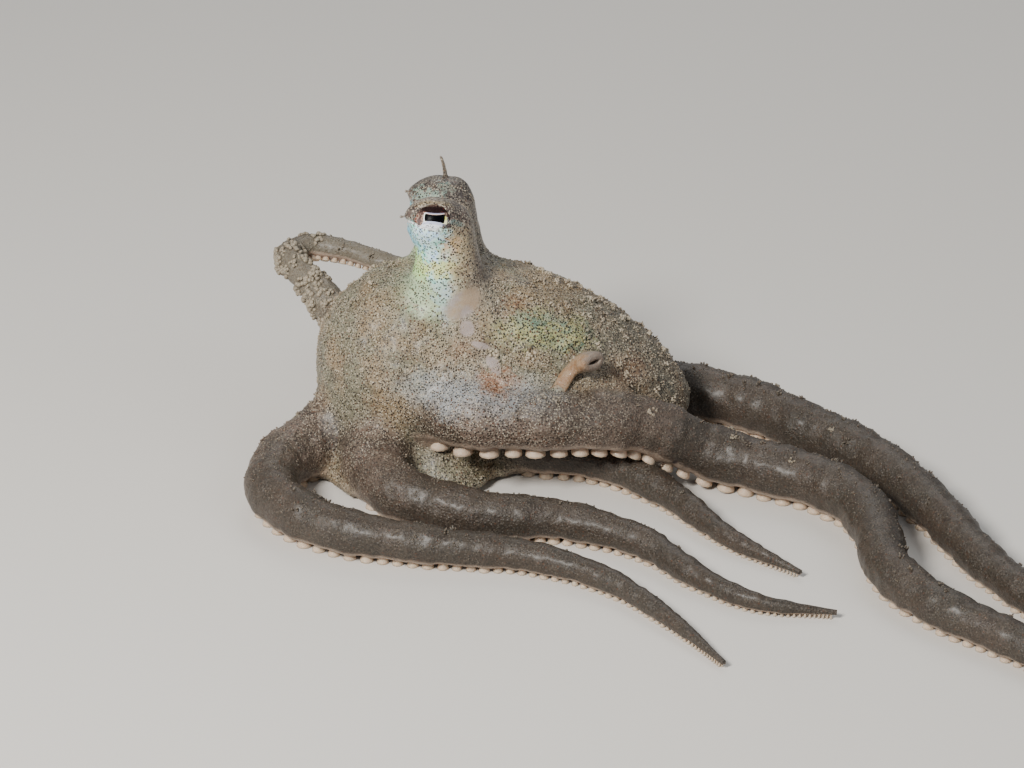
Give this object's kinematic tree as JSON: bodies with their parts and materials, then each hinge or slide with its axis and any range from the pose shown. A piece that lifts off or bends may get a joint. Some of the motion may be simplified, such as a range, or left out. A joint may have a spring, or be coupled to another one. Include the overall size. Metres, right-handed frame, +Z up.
{
  "type": "octopus",
  "caption": "Small long-armed octopus with raised eye stalks, crouched on the floor with its mantle sloping back and its arms trailing; still display model with no joints.",
  "frame": {"origin": "On the floor at the middle of the flat sole under the arm crown", "axes": "+Z up, head and face towards -X, mantle and trailing arms towards +X, the animal's left side towards -Y"},
  "size_m": [0.0621, 0.0579, 0.0198],
  "materials": {
    "body_skin": "damp, translucent, finely speckled skin with small papillae",
    "stalk_skin": "damp silvery green skin with sparse dark dots",
    "arm_skin": "damp pinkish grey-brown skin with dense fine dots",
    "sucker": "pale damp sucker skin",
    "funnel_skin": "smooth translucent skin",
    "papilla": "pale soft papillae",
    "eye": "wet glossy eyeball with a dark bar pupil"
  },
  "bodies": {
    "root": {"crown": "body_skin", "head": "body_skin", "mantle": "body_skin", "funnel": "funnel_skin", "eye_stalk_left": "stalk_skin", "eye_stalk_right": "stalk_skin", "eye_left": "eye", "eye_right": "eye", "horn_left": "papilla", "horn_right": "papilla", "arm_L1_1": "arm_skin", "arm_L1_2": "arm_skin", "arm_L1_3": "arm_skin", "arm_L1_4": "arm_skin", "arm_L1_5": "arm_skin", "arm_L2_1": "arm_skin", "arm_L2_2": "arm_skin", "arm_L2_3": "arm_skin", "arm_L2_4": "arm_skin", "arm_L2_5": "arm_skin", "arm_L3_1": "arm_skin", "arm_L3_2": "arm_skin", "arm_L3_3": "arm_skin", "arm_L3_4": "arm_skin", "arm_L3_5": "arm_skin", "arm_L3_6": "arm_skin", "arm_L3_7": "arm_skin", "arm_L3_8": "arm_skin", "arm_L4_1": "arm_skin", "arm_L4_2": "arm_skin", "arm_L4_3": "arm_skin", "arm_L4_4": "arm_skin", "arm_R1_1": "arm_skin", "arm_R1_2": "arm_skin", "arm_R1_3": "arm_skin", "arm_R1_4": "arm_skin", "arm_R1_5": "arm_skin", "arm_R1_6": "arm_skin", "arm_R1_7": "arm_skin", "arm_R2_1": "arm_skin", "arm_R2_2": "arm_skin", "arm_R2_3": "arm_skin", "arm_R2_4": "arm_skin", "arm_R2_5": "arm_skin", "arm_R2_6": "arm_skin", "arm_R3_1": "arm_skin", "arm_R3_2": "arm_skin", "arm_R3_3": "arm_skin", "arm_R3_4": "arm_skin", "arm_R3_5": "arm_skin", "arm_R3_6": "arm_skin", "arm_R4_1": "arm_skin", "arm_R4_2": "arm_skin", "arm_R4_3": "arm_skin", "arm_R4_4": "arm_skin", "arm_R4_5": "arm_skin", "arm_R4_6": "arm_skin", "arm_R4_7": "arm_skin", "arm_R4_8": "arm_skin"}
  },
  "joints": []
}
